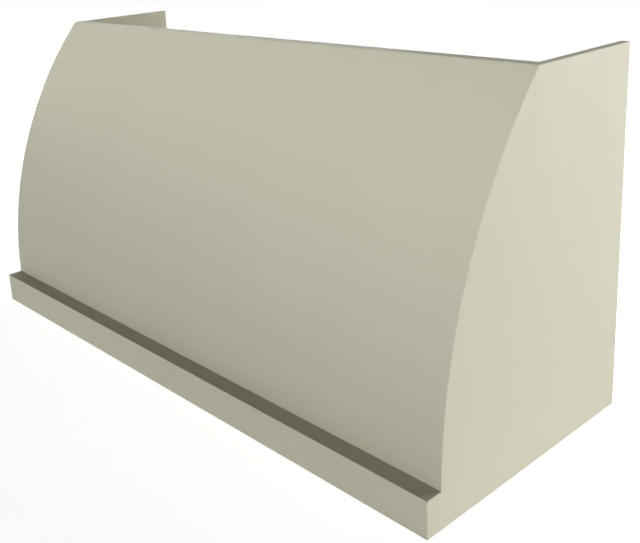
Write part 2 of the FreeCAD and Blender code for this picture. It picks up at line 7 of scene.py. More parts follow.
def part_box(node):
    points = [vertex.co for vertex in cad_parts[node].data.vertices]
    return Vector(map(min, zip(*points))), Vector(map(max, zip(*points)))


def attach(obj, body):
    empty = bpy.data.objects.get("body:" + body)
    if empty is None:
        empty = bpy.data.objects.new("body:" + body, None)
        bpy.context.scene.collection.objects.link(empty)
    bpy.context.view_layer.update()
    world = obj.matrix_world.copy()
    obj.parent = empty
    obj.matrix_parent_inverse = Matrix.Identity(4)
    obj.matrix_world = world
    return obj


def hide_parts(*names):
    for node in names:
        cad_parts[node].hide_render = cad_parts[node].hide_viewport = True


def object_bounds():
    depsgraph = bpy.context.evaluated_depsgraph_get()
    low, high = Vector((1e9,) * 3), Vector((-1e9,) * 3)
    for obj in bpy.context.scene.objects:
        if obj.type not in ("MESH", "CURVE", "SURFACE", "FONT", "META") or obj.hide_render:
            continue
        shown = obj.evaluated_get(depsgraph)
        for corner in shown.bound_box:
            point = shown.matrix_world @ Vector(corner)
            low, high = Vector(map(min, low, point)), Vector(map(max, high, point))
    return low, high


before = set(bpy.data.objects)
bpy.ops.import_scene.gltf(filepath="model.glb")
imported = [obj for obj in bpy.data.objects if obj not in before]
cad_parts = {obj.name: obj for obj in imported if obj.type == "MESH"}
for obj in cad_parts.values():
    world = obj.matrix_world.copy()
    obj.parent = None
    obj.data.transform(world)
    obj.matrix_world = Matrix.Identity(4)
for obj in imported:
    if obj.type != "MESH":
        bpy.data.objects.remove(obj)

# Painted wooden cover for a range hood, in metres: X along its width, Y from the front to the wall, Z up.
# It has an open back, an open top, and a front that is bent in one circular arc above a straight apron.

cadLow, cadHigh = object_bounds()
apronLow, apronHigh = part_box("apron_board")
ledgeLow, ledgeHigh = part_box("ledge_board")
railLow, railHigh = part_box("top_front_rail")
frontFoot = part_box("front_outer_ply")[0].y       # where the front's outer face stands on the ledge

front = dict(
    topDepth=0.3048,         # wall to the top of the front
    plyThickness=0.009525,   # each of its two layers
    glueLine=0.0001,         # between two curved faces
    segments=144,            # along the arc
)
edges = dict(
    painted=0.0016,      # radius of the rounded edges outside
    bare=0.0008,         # and of those inside
    steps=4,             # rings on each rounded edge
    leastBend=0.02,      # sine of the angle from which two sides of an outline count as bent
    sharpAngle=35,       # degrees between two faces from which their edge stays sharp
    nearZero=1e-12,      # keeps a division off zero where two sides run straight on
)

# The arc is upright at the ledge, so its centre is level with the ledge.
arcZ = apronHigh.z
rise = cadHigh.z - arcZ
lean = cadHigh.y - front["topDepth"] - frontFoot
outerRadius = (rise ** 2 + lean ** 2) / (2 * lean)
middleRadius = outerRadius - front["plyThickness"]
carcassRadius = outerRadius - 2 * (front["plyThickness"] + front["glueLine"])
arcY = frontFoot + outerRadius
print("front radius", round(outerRadius, 5), "centre", round(arcY, 5), round(arcZ, 5))

# Angle on the front's arc at which a radius reaches a height: arcsin(height above the centre / radius).
def angleAt(radius, z):
    return math.asin((z - arcZ) / radius)

# Points on that arc between two angles: centre + radius * (-cos, sin).
def arcPoints(radius, start, end, count):
    angle = np.linspace(start, end, count)
    return np.column_stack([arcY - radius * np.cos(angle), arcZ + radius * np.sin(angle)])

# An outline with some corners rounded. Each rounded corner becomes a few points on the circle that touches
# both of its sides: they are the two touching points turned into each other about the circle's centre.
def roundCorners(corners, radii, steps=4):
    corners, radii = np.asarray(corners, float), np.asarray(radii, float)
    back, ahead = np.roll(corners, 1, 0) - corners, np.roll(corners, -1, 0) - corners
    back /= np.linalg.norm(back, axis=1)[:, None]
    ahead /= np.linalg.norm(ahead, axis=1)[:, None]
    half = np.arccos(np.clip((back * ahead).sum(1), -1, 1)) / 2
    reach = radii / np.tan(half)
    middle = back + ahead
    middle /= np.maximum(np.linalg.norm(middle, axis=1), edges["nearZero"])[:, None]
    centre = corners + middle * (radii / np.sin(half))[:, None]
    start, end = corners + back * reach[:, None] - centre, corners + ahead * reach[:, None] - centre
    turn = (np.pi - 2 * half)[:, None]
    share = np.linspace(0, 1, steps + 1)[None, :]
    whole = np.maximum(np.sin(turn), edges["nearZero"])
    early, late = np.sin((1 - share) * turn) / whole, np.sin(share * turn) / whole
    rounded = centre[:, None] + start[:, None] * early[..., None] + end[:, None] * late[..., None]
    plain = radii <= 0
    rounded[plain, 0] = corners[plain]
    keep = np.ones(rounded.shape[:2], bool)
    keep[plain, 1:] = False
    return rounded[keep]

# How each corner of an outline moves when its sides move in by their own weights: to the point where the
# two moved sides meet, which solves v . n1 = w1 and v . n2 = w2.
def insetOf(outline, weights):
    side = np.roll(outline, -1, 0) - outline
    side /= np.linalg.norm(side, axis=1)[:, None]
    inward = np.column_stack([-side[:, 1], side[:, 0]])
    before, weightBefore = np.roll(inward, 1, 0), np.roll(weights, 1)
    cross = before[:, 0] * inward[:, 1] - before[:, 1] * inward[:, 0]
    bent = np.abs(cross) > edges["leastBend"]
    safe = np.where(bent, cross, 1)[:, None]
    meet = np.column_stack([
        weightBefore * inward[:, 1] - weights * before[:, 1],
        weights * before[:, 0] - weightBefore * inward[:, 0],
    ]) / safe
    straight = inward * ((weights + weightBefore) / 2)[:, None]
    return np.where(bent[:, None], meet, straight)

# Stations of a quarter round from an end: distance in from the end r(1 - cos a), inset of the outline
# r(1 - sin a).
def quarterRound(radius, steps):
    angle = np.linspace(0, np.pi / 2, steps + 1)
    return radius * (1 - np.cos(angle)), radius * (1 - np.sin(angle))

# Quads between rows of points that close on themselves, for row r and spot s: (r, s), (r, s + 1),
# (r + 1, s + 1), (r + 1, s).
def ringQuads(rows, around):
    row, spot = np.meshgrid(np.arange(rows - 1), np.arange(around), indexing="ij")
    ahead = (spot + 1) % around
    return np.stack([row * around + spot, row * around + ahead,
                     (row + 1) * around + ahead, (row + 1) * around + spot], -1).reshape(-1, 4).tolist()

# A profile carried along X: ring j is the outline at x[j], moved in by inset[j] times its corner vectors.
# Both ends are closed by one face. The outline runs anticlockwise seen from +X, so the faces point out.
def carryAlongX(outline, lowWeights, highWeights, lowX, highX, radius, steps):
    count = len(outline)
    along, depth = quarterRound(radius, steps)
    x = np.concatenate([lowX + along, (highX - along)[::-1]])
    lowMove = insetOf(outline, lowWeights)[None] * depth[:, None, None]
    highMove = insetOf(outline, highWeights)[None] * depth[::-1, None, None]
    rings = outline[None] + np.concatenate([lowMove, highMove])
    points = np.concatenate([np.broadcast_to(x[:, None, None], rings.shape[:2] + (1,)), rings], axis=2)
    last = (len(x) - 1) * count
    ends = [list(range(count))[::-1], list(range(last, last + count))]
    return points.reshape(-1, 3), ringQuads(len(x), count) + ends

# Rings of points in rows, joined by quads and closed at both ends by a fan to one point. Row by row, the
# rings run anticlockwise seen from the end, so the faces point out.
def closedRings(rings, startPoint, endPoint):
    rows, around = rings.shape[:2]
    points = np.concatenate([rings.reshape(-1, 3), [startPoint, endPoint]])
    first, last = np.arange(around), np.arange(around) + (rows - 1) * around
    startFan = np.stack([np.roll(first, -1), first, np.full(around, rows * around)], -1)
    endFan = np.stack([last, np.roll(last, -1), np.full(around, rows * around + 1)], -1)
    return points, ringQuads(rows, around) + startFan.tolist() + endFan.tolist()

# Several point and face lists as one, each with its corners counted on from the last.
def joinParts(parts):
    starts = np.cumsum([0] + [len(points) for points, _ in parts])
    faces = []
    for start, (_, part) in zip(starts, parts):
        faces += [[start + corner for corner in face] for face in part]
    return np.concatenate([points for points, _ in parts]), faces

# A new object for a mesh, a lamp or a camera.
def addObject(name, data):
    added = bpy.data.objects.new(name, data)
    bpy.context.scene.collection.objects.link(added)
    return added

# A finished piece: its mesh, smooth but for sharp corners, and its material. The CAD solids it takes the
# place of are hidden.
def newPiece(name, points, faces, material, slotName, *nodes):
    mesh = bpy.data.meshes.new(name)
    mesh.from_pydata(points.tolist(), [], faces)
    mesh.shade_smooth()
    mesh.set_sharp_from_angle(angle=math.radians(edges["sharpAngle"]))
    mesh.materials.append(material)
    piece = addObject(name, mesh)
    evenNormals = piece.modifiers.new("evenNormals", "WEIGHTED_NORMAL")
    evenNormals.keep_sharp = True
    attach(piece, "root")
    if nodes:
        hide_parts(*nodes)
    return piece

# A colour given as it looks on the screen, 0 to 255, as the linear numbers that a shader takes.
def shade(red, green, blue):
    screen = np.array([red, green, blue]) / 255
    linear = np.where(screen <= 0.04045, screen / 12.92, ((screen + 0.055) / 1.055) ** 2.4)
    return (*linear.tolist(), 1)

# One shader node with its settings. Each socket takes a plain value or another node's output.
def addNode(tree, kind, sockets=None, **settings):
    node = tree.nodes.new("ShaderNode" + kind)
    for setting, value in settings.items():
        setattr(node, setting, value)
    for socket, value in (sockets or {}).items():
        if isinstance(value, bpy.types.NodeSocket):
            tree.links.new(value, node.inputs[socket])
        else:
            node.inputs[socket].default_value = value
    return node

# A material, with its node tree and its shader.
def newMaterial(name):
    material = bpy.data.materials.new(name)
    material.use_nodes = True
    tree = material.node_tree
    return material, tree, tree.nodes["Principled BSDF"]

# Object coordinates, stretched per axis and moved.
def stretchedSpot(tree, stretch=(1, 1, 1), place=(0, 0, 0)):
    spot = addNode(tree, "TexCoord").outputs["Object"]
    return addNode(tree, "Mapping", {"Vector": spot, "Location": place, "Scale": stretch}).outputs[0]

# Stretch for a pattern that runs along one axis: the share along it, and 1 across it.
def alongAxis(axis, share):
    return [share if name == axis else 1.0 for name in "XYZ"]

mostNoise = (0.3, 0.7)      # where nearly all values of a noise pattern lie

# A cloudy pattern from 0 to 1.
def noise(tree, scale, stretch=(1, 1, 1), place=(0, 0, 0), detail=2.0, roughness=0.5):
    wanted = {"Vector": stretchedSpot(tree, stretch, place), "Scale": scale,
              "Detail": detail, "Roughness": roughness}
    return addNode(tree, "TexNoise", wanted).outputs["Fac"]

# low + (high - low) * (value - fromLow) / (fromHigh - fromLow), held between low and high.
def remap(tree, value, low, high, fromLow=0.0, fromHigh=1.0):
    wanted = {"Value": value, "From Min": fromLow, "From Max": fromHigh, "To Min": low, "To Max": high}
    return addNode(tree, "MapRange", wanted).outputs["Result"]

# One calculation with two numbers, such as MULTIPLY. ABSOLUTE takes only the first.
def arithmetic(tree, operation, first, second=0.0):
    return addNode(tree, "Math", {0: first, 1: second}, operation=operation).outputs[0]

# first * (1 - factor) + second * factor, for colours.
def blendColours(tree, factor, first, second):
    return addNode(tree, "Mix", {0: factor, 6: first, 7: second}, data_type="RGBA").outputs[2]

# A colour made lighter or darker by a factor.
def scaleColour(tree, colour, factor):
    return addNode(tree, "VectorMath", {0: colour, "Scale": factor}, operation="SCALE").outputs[0]

# Bumps laid over each other, each with its own depth in metres.
def addBumps(tree, shader, *layers):
    normal = None
    for height, depth in layers:
        wanted = {"Height": height, "Distance": depth, "Strength": 1.0}
        if normal is not None:
            wanted["Normal"] = normal
        normal = addNode(tree, "Bump", wanted).outputs[0]
    tree.links.new(normal, shader.inputs["Normal"])

paint = dict(
    colour=(208, 205, 184),
    toneSpread=0.014,        # how far the tone wanders over the whole hood
    toneScale=2.4,
    roughness=(0.5, 0.6),
    sheenScale=11,           # how fast the roughness wanders
    shine=0.35,
    peelScale=360,           # orange peel of the spray gun, per metre
    peelDepth=0.00003,
    grainScale=70,           # wood grain that just shows through the coats
    grainDepth=0.00005,
    grainShade=0.988,        # how much darker the coat is over that grain
    grainRange=(0.35, 0.55),
    grainShare=0.025,        # how stretched the grain is along its run
    grainPlace=(0.4, 0.1, 0.2),
    endFacing=0.9,           # a surface that faces this much along X is on one of the two ends
)

# Sprayed satin paint: a tone that wanders a little, orange peel, and the grain of the wood under it, which
# runs along X, but upright on the two ends. Those are where the surface faces along X.
def makePaint():
    material, tree, shader = newMaterial("satinPaint")
    facing = addNode(tree, "SeparateXYZ", {0: addNode(tree, "TexCoord").outputs["Normal"]}).outputs["X"]
    isEnd = arithmetic(tree, "GREATER_THAN", arithmetic(tree, "ABSOLUTE", facing), paint["endFacing"])
    lying, upright = (noise(tree, paint["grainScale"], alongAxis(axis, paint["grainShare"]),
                            paint["grainPlace"], detail=5, roughness=0.62) for axis in "XZ")
    grain = addNode(tree, "Mix", {0: isEnd, 2: lying, 3: upright}, data_type="FLOAT").outputs[0]
    cloud = noise(tree, paint["toneScale"], place=(3.1, 0.4, 1.7), detail=3)
    tone = remap(tree, cloud, 1 - paint["toneSpread"], 1 + paint["toneSpread"], *mostNoise)
    grainTone = remap(tree, grain, paint["grainShade"], 1.0, *paint["grainRange"])
    base = shade(*paint["colour"])[:3]
    tree.links.new(scaleColour(tree, base, arithmetic(tree, "MULTIPLY", tone, grainTone)),
                   shader.inputs["Base Color"])
    sheen = remap(tree, noise(tree, paint["sheenScale"], detail=4), *paint["roughness"], *mostNoise)
    tree.links.new(sheen, shader.inputs["Roughness"])
    peel = noise(tree, paint["peelScale"], detail=1.5)
    shader.inputs["Specular IOR Level"].default_value = paint["shine"]
    addBumps(tree, shader, (grain, paint["grainDepth"]), (peel, paint["peelDepth"]))
    return material

poplar = dict(
    light=(222, 206, 170),
    dark=(190, 168, 126),
    heart=(174, 170, 126),     # greenish streaks of heartwood
    heartShare=(0.0, 0.65),
    ringSpacing=0.0046,
    grainShare=0.06,           # how stretched the pattern is along the grain
    roughness=0.62,
)
beech = dict(
    light=(214, 176, 134),
    dark=(186, 142, 100),
    heart=(196, 150, 112),
    heartShare=(0.0, 0.4),
    ringSpacing=0.0021,
    grainShare=0.05,
    roughness=0.5,
)
sawn = dict(
    unitSpacing=0.314,         # from ring to ring in a wave pattern whose scale is 1, which is 2 pi / 20
    distortion=5.0,
    ringDetail=3.0,
    ringDetailScale=0.35,
    ringDetailRoughness=0.55,
    ringShade=0.6,             # how much of the dark colour a ring takes
    heartScale=22,
    heartRange=(0.5, 0.68),
    poreScale=900,
    poreShade=(0.88, 1.05),
    sawScale=260,              # marks of the saw
    ringRelief=0.3,            # how much the rings stand out beside the pores
    reliefDepth=0.00012,
    sawDepth=0.00008,
)

# Sawn wood: growth rings about a line that runs beside the board along its grain, so that long faces show
# streaks and the ends show arcs. pith is that line's place across the grain.
def makeWood(name, wood, grainAxis, pith):
    material, tree, shader = newMaterial(name)
    stretch = alongAxis(grainAxis, wood["grainShare"])
    away = [-c for c in pith]
    rings = addNode(tree, "TexWave", {
        "Vector": stretchedSpot(tree, stretch, away), "Scale": sawn["unitSpacing"] / wood["ringSpacing"],
        "Distortion": sawn["distortion"], "Detail": sawn["ringDetail"],
        "Detail Scale": sawn["ringDetailScale"], "Detail Roughness": sawn["ringDetailRoughness"],
    }, wave_type="RINGS", rings_direction=grainAxis, wave_profile="SAW").outputs["Fac"]
    ringed = blendColours(tree, arithmetic(tree, "MULTIPLY", rings, sawn["ringShade"]),
                          shade(*wood["light"]), shade(*wood["dark"]))
    band = noise(tree, sawn["heartScale"], stretch, away, detail=2)
    hearty = blendColours(tree, remap(tree, band, *wood["heartShare"], *sawn["heartRange"]), ringed,
                          shade(*wood["heart"]))
    pores = noise(tree, sawn["poreScale"], stretch, away, detail=3, roughness=0.6)
    tree.links.new(scaleColour(tree, hearty, remap(tree, pores, *sawn["poreShade"], *mostNoise)),
                   shader.inputs["Base Color"])
    shader.inputs["Roughness"].default_value = wood["roughness"]
    sawMarks = noise(tree, sawn["sawScale"], alongAxis(grainAxis, 1.0), away, detail=1)
    relief = arithmetic(tree, "ADD", arithmetic(tree, "MULTIPLY", rings, sawn["ringRelief"]), pores)
    addBumps(tree, shader, (relief, sawn["reliefDepth"]), (sawMarks, sawn["sawDepth"]))
    return material

birch = dict(
    light=(230, 211, 176),
    dark=(206, 180, 140),
    endGrain=(164, 126, 86),
    layer=0.001465,            # thirteen of them in 3/4 in
    layerRange=(0.42, 0.58),   # how sharply one layer gives way to the next
    faceRange=(0.6, 0.8),      # how far a surface faces along the thickness, from an edge to a face
    grainShare=0.1,
    figureScale=9,
    waves=14.0,                # bands of light and dark that the figure is folded into
    waveSharpness=2.2,
    poreScale=1100,
    poreShade=(0.9, 1.05),
    poreDepth=0.0001,
    roughness=0.55,
)

# Birch plywood: wavy veneer grain on its faces and layers on its edges. The layers are stripes across the
# thickness, and how far a surface faces along the thickness tells a face from an edge.
def makeBirchPly(name, grainAxis, thicknessAxis, start):
    material, tree, shader = newMaterial(name)
    coordinates = addNode(tree, "TexCoord")
    spot = addNode(tree, "SeparateXYZ", {0: coordinates.outputs["Object"]}).outputs[thicknessAxis]
    normal = addNode(tree, "SeparateXYZ", {0: coordinates.outputs["Normal"]}).outputs[thicknessAxis]
    stretch = alongAxis(grainAxis, birch["grainShare"])
    figure = noise(tree, birch["figureScale"], stretch, (start, 2 * start, 0.3), detail=4, roughness=0.55)
    waves = arithmetic(tree, "PINGPONG", arithmetic(tree, "MULTIPLY", figure, birch["waves"]), 1.0)
    pores = noise(tree, birch["poreScale"], stretch, (0, start, 0), detail=2)
    veneer = blendColours(tree, arithmetic(tree, "POWER", waves, birch["waveSharpness"]),
                          shade(*birch["light"]), shade(*birch["dark"]))
    depth = arithmetic(tree, "DIVIDE", arithmetic(tree, "SUBTRACT", spot, start), birch["layer"])
    stripe = arithmetic(tree, "PINGPONG", depth, 1.0)
    layers = blendColours(tree, remap(tree, stripe, 0.0, 1.0, *birch["layerRange"]),
                          shade(*birch["light"]), shade(*birch["endGrain"]))
    facing = remap(tree, arithmetic(tree, "ABSOLUTE", normal), 0.0, 1.0, *birch["faceRange"])
    wood = blendColours(tree, facing, layers, veneer)
    tree.links.new(scaleColour(tree, wood, remap(tree, pores, *birch["poreShade"], *mostNoise)),
                   shader.inputs["Base Color"])
    shader.inputs["Roughness"].default_value = birch["roughness"]
    addBumps(tree, shader, (pores, birch["poreDepth"]))
    return material

zinc = dict(
    colour=(196, 196, 190),
    dullShare=0.84,            # brightness of the dull patches, as a share of the colour
    roughness=(0.28, 0.45),
    spangleScale=700,
    spangleDepth=0.00002,
)

# Zinc plating: bright metal with faint spangle.
def makeZinc():
    material, tree, shader = newMaterial("zincPlating")
    shader.inputs["Metallic"].default_value = 1.0
    spangle = noise(tree, zinc["spangleScale"], detail=3, roughness=0.65)
    dull = shade(*(zinc["dullShare"] * c for c in zinc["colour"]))
    tree.links.new(blendColours(tree, spangle, dull, shade(*zinc["colour"])), shader.inputs["Base Color"])
    tree.links.new(remap(tree, spangle, *zinc["roughness"], *mostNoise), shader.inputs["Roughness"])
    addBumps(tree, shader, (spangle, zinc["spangleDepth"]))
    return material

amber = dict(light=(216, 198, 146), dark=(196, 170, 110), roughness=0.3, coat=0.3, scale=160, depth=0.0003)

# Wood glue that dried to a clear amber.
def makeGlue():
    material, tree, shader = newMaterial("driedGlue")
    cloud = noise(tree, amber["scale"], detail=3)
    tree.links.new(blendColours(tree, cloud, shade(*amber["light"]), shade(*amber["dark"])),
                   shader.inputs["Base Color"])
    shader.inputs["Roughness"].default_value = amber["roughness"]
    shader.inputs["Coat Weight"].default_value = amber["coat"]
    addBumps(tree, shader, (cloud, amber["depth"]))
    return material

# Another material on a solid that keeps its CAD shape.
def setMaterial(node, material):
    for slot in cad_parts[node].material_slots:
        slot.material = material

satinPaint = makePaint()
zincPlating = makeZinc()
driedGlue = makeGlue()
print("paint, plating and glue ready")

# One layer of the curved front: two arcs about the same centre, cut level at the top and at the ledge.
# Seen from +X the outline runs up the inner arc, over the top and down the outer one.
def curvedFront(name, node, outside, inside, rounded):
    count = front["segments"]
    inner = arcPoints(inside, angleAt(inside, arcZ), angleAt(inside, cadHigh.z), count)
    outer = arcPoints(outside, angleAt(outside, cadHigh.z), angleAt(outside, arcZ), count)
    radii = np.zeros(2 * count)
    radii[count] = edges["painted"] if rounded else 0
    outline = roundCorners(np.concatenate([inner, outer]), radii, edges["steps"])
    weights = np.full(len(outline), float(rounded))
    weights[:count - 1] = 0     # inner arc
    weights[count - 1] = 1      # top face, which goes on the side panel's
    weights[-1] = 0             # foot on the ledge
    points, faces = carryAlongX(outline, weights, weights, cadLow.x, cadHigh.x,
                                edges["painted"], edges["steps"])
    newPiece(name, points, faces, satinPaint, "painted_wood", node)

curvedFront("curvedFrontOuter", "front_outer_ply", outerRadius, middleRadius, True)
curvedFront("curvedFrontInner", "front_inner_ply", middleRadius, carcassRadius, False)

# A board with a box for its section, carried along X, with chosen corners rounded and chosen sides eased
# at its ends. The sides run from the low front corner along the bottom, up the back, over the top.
def straightBoard(name, node, low, high, radii, weights):
    corners = [(low.y, low.z), (high.y, low.z), (high.y, high.z), (low.y, high.z)]
    steps = edges["steps"]
    outline = roundCorners(corners, radii, steps)
    sideWeights = np.repeat(np.array(weights, float), [steps + 1 if r > 0 else 1 for r in radii])
    points, faces = carryAlongX(outline, sideWeights, sideWeights, low.x, high.x, edges["painted"], steps)
    newPiece(name, points, faces, satinPaint, "painted_wood", node)

painted, bare = edges["painted"], edges["bare"]
straightBoard("apronBoard", "apron_board", apronLow, apronHigh, (painted, 0, 0, painted), (1, 0, 1, 1))
straightBoard("ledgeBoard", "ledge_board", ledgeLow, ledgeHigh, (0, bare, bare, 0), (0, 0, 0, 0))

# One end of the hood, 3/4 in thick: level bottom, upright wall edge, level top, the front's arc, the ledge.
def sidePanel(name, node):
    low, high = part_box(node)
    count = front["segments"]
    arc = arcPoints(carcassRadius, angleAt(carcassRadius, high.z), angleAt(carcassRadius, arcZ), count)
    corners = np.concatenate([
        [(low.y, low.z), (high.y, low.z), (high.y, high.z)], arc, [(low.y, arcZ)]])
    radii = np.zeros(len(corners))
    radii[1:3] = edges["painted"]
    outline = roundCorners(corners, radii, edges["steps"])
    weights = np.ones(len(outline))
    first = 3 + 2 * edges["steps"]            # where the arc starts
    weights[first:first + count - 1] = 0      # covered by the curved front
    weights[-1] = 0                           # covered by the apron
    innerWeights = weights.copy()
    innerWeights[-2] = 0                      # level with the ledge board
    ends = (innerWeights, weights) if high.x > 0 else (weights, innerWeights)
    points, faces = carryAlongX(outline, *ends, low.x, high.x, edges["painted"], edges["steps"])
    newPiece(name, points, faces, satinPaint, "painted_wood", node)

sidePanel("leftSidePanel", "left_side_panel")
sidePanel("rightSidePanel", "right_side_panel")
print("painted shell ready")

rail = dict(
    thickness=0.01905,
    gap=0.0002,                # around it in the ribs
    facePoints=13,             # along the arc of its outer face
    pith=(0, 0.05, 0.64),
)
ribDepth = 0.04445             # across the arc
railHighAngle = angleAt(carcassRadius, railHigh.z)
railLowAngle = angleAt(carcassRadius - rail["thickness"], railLow.z)

# A rib between two arcs, with a step at its top in which the rail lies.
def curvedRib(name, node):
    low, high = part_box(node)
    count = front["segments"]
    gapAngle = rail["gap"] / carcassRadius
    stepRadius = carcassRadius - rail["thickness"] - rail["gap"]
    stepLow, stepHigh = arcPoints(stepRadius, railLowAngle - gapAngle, railHighAngle + gapAngle, 2)
    shoulder = arcPoints(carcassRadius, railLowAngle - gapAngle, railHighAngle + gapAngle, 2)[1]
    share = (high.z - stepHigh[1]) / (shoulder[1] - stepHigh[1])
    crossing = stepHigh + (shoulder - stepHigh) * share      # where the step meets the rib's top
    inside = carcassRadius - ribDepth
    inner = arcPoints(inside, angleAt(inside, low.z), angleAt(inside, high.z), count)
    outer = arcPoints(carcassRadius, railLowAngle - gapAngle, angleAt(carcassRadius, low.z), count)
    outline = np.concatenate([inner, [crossing, stepHigh, stepLow], outer])
    weights = np.zeros(len(outline))
    points, faces = carryAlongX(outline, weights, weights, low.x, high.x, edges["bare"], 1)
    newPiece(name, points, faces, makeBirchPly(name + "Birch", "Z", "X", low.x), "birch_plywood", node)

ribs = {"leftOuterRib": "left_outer_rib", "leftInnerRib": "left_inner_rib",
        "rightInnerRib": "right_inner_rib", "rightOuterRib": "right_outer_rib"}
for name, node in ribs.items():
    curvedRib(name, node)

backCorners = arcPoints(carcassRadius - rail["thickness"], railLowAngle, railHighAngle, 2)
railFace = arcPoints(carcassRadius, railHighAngle, railLowAngle, rail["facePoints"])
railOutline = np.concatenate([backCorners, railFace])
flat = np.zeros(len(railOutline))
points, faces = carryAlongX(railOutline, flat, flat, railLow.x, railHigh.x, edges["bare"], 1)
newPiece("topFrontRail", points, faces, makeWood("topRailPoplar", poplar, "X", rail["pith"]), "poplar",
         "top_front_rail")
print("ribs and top rail ready")

# Boards that keep their CAD shape: the way their grain runs, and where the heart of their tree was.
poplarBoards = {
    "apron_cleat": ("X", (0, -0.21, 0.09)),
    "left_frame_cleat": ("Y", (-0.70, 0, 0.12)),
    "right_frame_cleat": ("Y", (0.69, 0, 0.10)),
    "left_rear_cleat": ("Z", (-0.68, 0.22, 0)),
    "right_rear_cleat": ("Z", (0.71, 0.20, 0)),
    "upper_hanging_rail": ("X", (0, 0.36, 0.66)),
    "lower_hanging_rail": ("X", (0, 0.34, 0.05)),
    "left_cross_tie": ("Y", (-0.50, 0, 0.66)),
    "right_cross_tie": ("Y", (0.48, 0, 0.59)),
    "glue_block_1": ("X", (0, -0.28, 0.11)),
    "glue_block_2": ("X", (0, -0.20, 0.12)),
    "glue_block_3": ("X", (0, -0.29, 0.06)),
    "glue_block_4": ("X", (0, -0.19, 0.07)),
    "glue_block_5": ("X", (0, -0.27, 0.13)),
}
for node, (grainAxis, pith) in poplarBoards.items():
    setMaterial(node, makeWood(node + "Poplar", poplar, grainAxis, pith))
frameRails = {"frame_front_rail": "X", "frame_rear_rail": "X",
              "frame_left_rail": "Y", "frame_right_rail": "Y"}
for node, grainAxis in frameRails.items():
    setMaterial(node, makeBirchPly(node + "Birch", grainAxis, "Z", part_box(node)[0].z))
print("bare boards ready")

# How local X, Y and Z turn for a piece whose own Z points up, to the front, to the right or to the left.
turns = dict(
    up=np.array([(1, 0, 0), (0, 1, 0), (0, 0, 1)]),
    front=np.array([(1, 0, 0), (0, 0, 1), (0, -1, 0)]),
    right=np.array([(0, 1, 0), (0, 0, 1), (1, 0, 0)]),
    left=np.array([(0, -1, 0), (0, 0, 1), (-1, 0, 0)]),
)
goldenAngle = math.pi * (3 - math.sqrt(5))      # from one copy to the next, so that no two look alike

# The lowest and highest corner of each copy in a node. Its points come in equal runs, one for each copy.
def copiesIn(node, count):
    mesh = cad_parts[node].data
    points = np.empty(3 * len(mesh.vertices), np.float32)
    mesh.vertices.foreach_get("co", points)
    runs = points.reshape(count, -1, 3).astype(float)
    return runs.min(1), runs.max(1)

# The same closed rings at several places: point * (turn about own axis) * (way it points) + place.
def repeatRings(rings, ends, places, ways):
    parts = []
    for number, (place, way) in enumerate(zip(places, ways)):
        cos, sin = math.cos(number * goldenAngle), math.sin(number * goldenAngle)
        turn = np.array([(cos, sin, 0), (-sin, cos, 0), (0, 0, 1)]) @ turns[way]
        parts.append(closedRings(rings @ turn + place, ends[0] @ turn + place, ends[1] @ turn + place))
    return joinParts(parts)

# Rows of radii at their depths as rings about Z: (r cos a, r sin a, depth).
def ringsAbout(radius, depth, angle):
    level = np.broadcast_to(depth[:, None], radius.shape)
    return np.stack([radius * np.cos(angle), radius * np.sin(angle), level], -1)

screw = dict(
    headRadius=0.0042,
    shankRadius=0.0021,
    rootRadius=0.00145,       # at the bottom of the thread
    tip=0.004,
    plainShank=0.009,         # from the head to where the thread starts
    pitch=0.0018,
    driveHalf=0.0014,         # square drive
    driveDepth=0.0018,
    driveTaper=0.9,           # width of the square at its bottom, as a share of its mouth
    bevel=0.0002,
    around=24,
    ringsPerTurn=6,           # along the thread
)

# A countersunk wood screw, head at the origin, point along +Z. Row by row its radius follows: the square
# recess, the flat face, the cone, the plain shank, then root + (shank - root) * ridge(z / pitch - angle).
def screwRings(length):
    angle = np.arange(screw["around"]) * 2 * np.pi / screw["around"]
    square = 1 / np.maximum(np.abs(np.cos(angle)), np.abs(np.sin(angle)))
    head, shank, root = screw["headRadius"], screw["shankRadius"], screw["rootRadius"]
    half, end, bevel = screw["driveHalf"], length - screw["tip"], screw["bevel"]
    recess = [(half * screw["driveTaper"], screw["driveDepth"]), (half, bevel), (half + bevel, 0)]
    turned = [(head - bevel, 0), (head, bevel), (shank, head - shank), (shank, screw["plainShank"])]
    z = np.arange(screw["plainShank"] + bevel, end, screw["pitch"] / screw["ringsPerTurn"])
    phase = (z[:, None] / screw["pitch"] - angle[None, :] / (2 * np.pi)) % 1
    ridge = (1 - np.abs(2 * phase - 1)) ** 2
    ease = np.clip((z - z[0]) / screw["pitch"], 0, 1)[:, None]
    radius = np.concatenate([
        np.array([r * square for r, _ in recess]),
        np.array([np.full(len(angle), r) for r, _ in turned]),
        (root + (shank - root) * ridge) * ease + shank * (1 - ease),
        np.full((1, len(angle)), root),
        np.full((1, len(angle)), bevel),
    ])
    depth = np.concatenate([[d for _, d in recess + turned], z, [end, length - bevel]])
    ends = np.array([0, 0, screw["driveDepth"]]), np.array([0, 0, length])
    return ringsAbout(radius, depth, angle), ends

# The screws of one node, each where its CAD solid is. Their heads lie at the low end of an upward screw,
# at the wall end of one that points to the front, and at the inner end of one in a side panel.
def screwGroup(name, node, count, way):
    low, high = copiesIn(node, count)
    head = (low + high) / 2
    ways = [way] * count
    if way == "sideways":
        ways = ["right" if x > 0 else "left" for x in head[:, 0]]
        head[:, 0] = np.where(head[:, 0] > 0, low[:, 0], high[:, 0])
    elif way == "up":
        head[:, 2] = low[:, 2]
    else:
        head[:, 1] = high[:, 1]
    points, faces = repeatRings(*screwRings((high - low).max()), head, ways)
    newPiece(name, points, faces, zincPlating, "zinc_steel", node)

